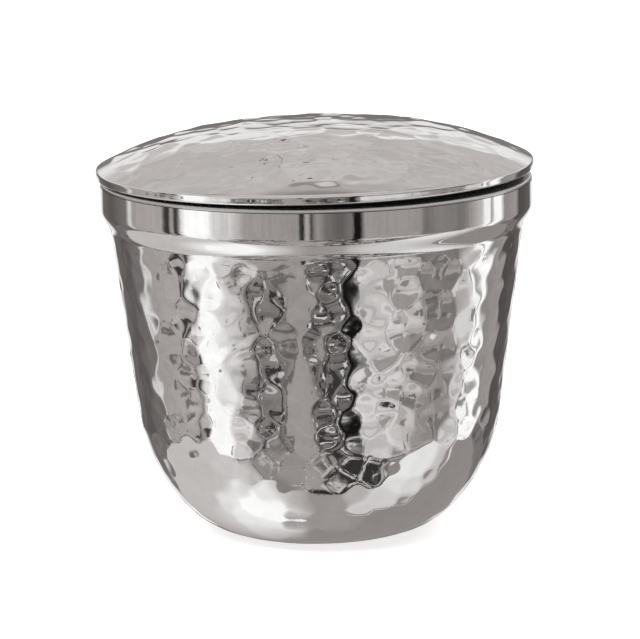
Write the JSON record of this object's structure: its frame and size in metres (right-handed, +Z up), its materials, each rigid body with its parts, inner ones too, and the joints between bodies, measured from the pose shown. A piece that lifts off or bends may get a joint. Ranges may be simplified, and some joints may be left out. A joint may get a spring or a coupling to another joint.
{
  "type": "ice bucket",
  "caption": "Round double-walled hammered steel ice bucket with a smooth collar, rounded base and a loose domed insulated lid that lifts straight off.",
  "frame": {"origin": "centre of the base, on the surface the bucket stands on", "axes": "+Z up along the bucket's own axis; the front faces -Y and +X is to the right, on the side where the lid lies a little higher"},
  "size_m": [0.2071, 0.2072, 0.1944],
  "materials": {
    "hammered_steel": "polished",
    "satin_steel": "satin",
    "foam": "matte",
    "black_silicone": "satin",
    "grey_silicone": "matte"
  },
  "bodies": {
    "bucket": {"outer_shell": "hammered_steel", "inner_liner": "satin_steel", "wall_insulation": "foam", "base_disc": "satin_steel", "base_plug": "grey_silicone", "foot_pad": "black_silicone"},
    "lid": {"lid_cover": "hammered_steel", "lid_pan": "satin_steel", "lid_insulation": "foam", "lid_gasket": "black_silicone"}
  },
  "joints": [
    {"name": "lid_lift", "type": "slide", "parent": "bucket", "child": "lid", "axis": [0, 0, 1], "range_m": [0, 0.2]}
  ]
}
